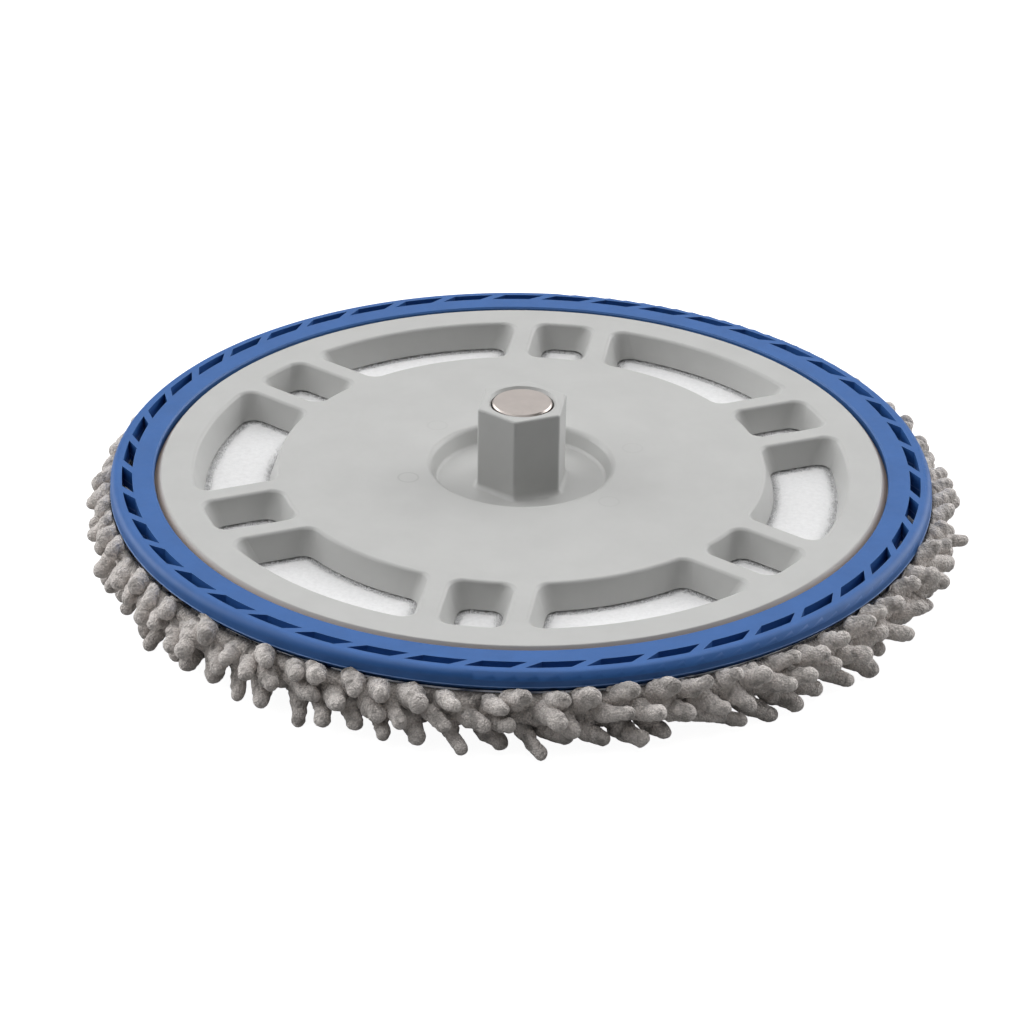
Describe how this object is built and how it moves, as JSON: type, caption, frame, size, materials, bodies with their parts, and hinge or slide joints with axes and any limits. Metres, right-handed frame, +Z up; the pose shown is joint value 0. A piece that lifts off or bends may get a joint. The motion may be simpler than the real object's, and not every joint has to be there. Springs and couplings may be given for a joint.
{
  "type": "spin mop disc",
  "caption": "Round spin mop disc: windowed carrier plate with a hexagonal magnetic drive post, slotted soft bumper ring and a peel-off chenille pad.",
  "frame": {"origin": "centre of the disc at the pad's underside, on the floor", "axes": "+Z up along the spin axis, from the pad to the drive post; +Y through a short window and a corner of the post"},
  "size_m": [0.176, 0.176, 0.0297],
  "materials": {
    "plate_plastic": "light grey moulded plastic, fine satin texture",
    "ring_rubber": "blue soft-touch elastomer, satin",
    "magnet_nickel": "nickel plating, finely ground face and bright chamfer",
    "hook_nylon": "white moulded hook tape",
    "loop_pile": "white brushed loop pile",
    "foam": "open-cell foam sheet",
    "base_cloth": "grey warp-knit mesh cloth",
    "edge_thread": "grey overlocked polyester thread",
    "chenille": "warm grey microfibre chenille fingers"
  },
  "bodies": {
    "pad": {"chenille_pile": "chenille", "pad_base_cloth": "base_cloth", "pad_foam_core": "foam", "pad_loop_facing": "loop_pile", "pad_edge_binding": "edge_thread"},
    "disc": {"carrier_plate": "plate_plastic", "bumper_ring": "ring_rubber", "hub_magnet": "magnet_nickel", "hook_patch_1": "hook_nylon", "hook_patch_2": "hook_nylon", "hook_patch_3": "hook_nylon", "hook_patch_4": "hook_nylon", "hook_patch_5": "hook_nylon", "hook_patch_6": "hook_nylon", "hook_strip_1": "hook_nylon", "hook_strip_2": "hook_nylon", "hook_strip_3": "hook_nylon", "hook_strip_4": "hook_nylon", "hook_strip_5": "hook_nylon", "hook_strip_6": "hook_nylon"}
  },
  "joints": [
    {"name": "pad_peel", "type": "slide", "parent": "pad", "child": "disc", "axis": [0, 0, 1], "range_m": [0, 0.06]}
  ]
}
